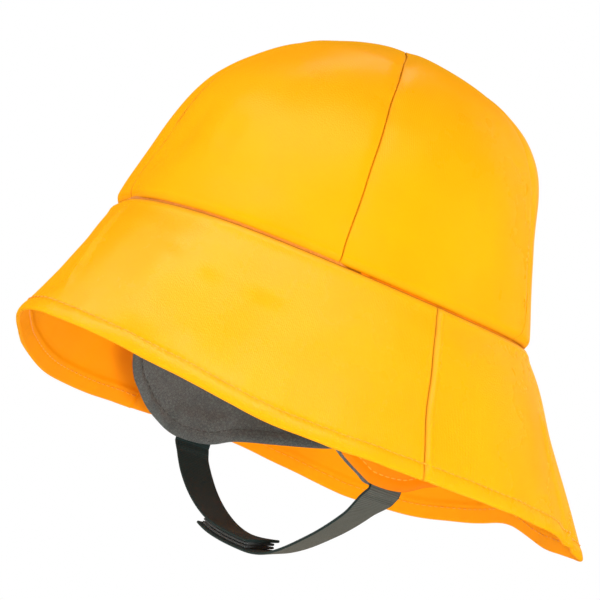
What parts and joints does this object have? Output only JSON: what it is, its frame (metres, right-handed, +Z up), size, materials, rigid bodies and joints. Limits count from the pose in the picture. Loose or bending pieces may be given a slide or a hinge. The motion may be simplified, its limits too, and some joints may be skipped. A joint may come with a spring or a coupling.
{
  "type": "sou'wester hat",
  "caption": "Soft waterproof rain hat with a gored crown, a sloping brim that is longer behind, lined ear flaps and a webbing chin strap.",
  "frame": {"origin": "middle of the head opening, level with the front of the seam between crown and brim", "axes": "+Z up out of the crown; the hat faces -Y; +X is the wearer's left"},
  "size_m": [0.2104, 0.2456, 0.205],
  "materials": {
    "coated_cloth": "satin waterproof coating on yellow cloth",
    "fleece_lining": "short matt dark grey fleece",
    "webbing": "dark grey woven webbing",
    "hook_and_loop": "dark grey hook-and-loop tape"
  },
  "bodies": {
    "root": {"crown_panel_front_left": "coated_cloth", "crown_panel_side_left": "coated_cloth", "crown_panel_back_left": "coated_cloth", "crown_panel_back_right": "coated_cloth", "crown_panel_side_right": "coated_cloth", "crown_panel_front_right": "coated_cloth", "brim_front": "coated_cloth", "brim_back": "coated_cloth", "ear_flap_left": "coated_cloth", "ear_flap_right": "coated_cloth", "ear_flap_lining_left": "fleece_lining", "ear_flap_lining_right": "fleece_lining", "chin_strap_left": "webbing", "chin_strap_right": "webbing", "hook_patch": "hook_and_loop", "loop_patch": "hook_and_loop"}
  },
  "joints": []
}
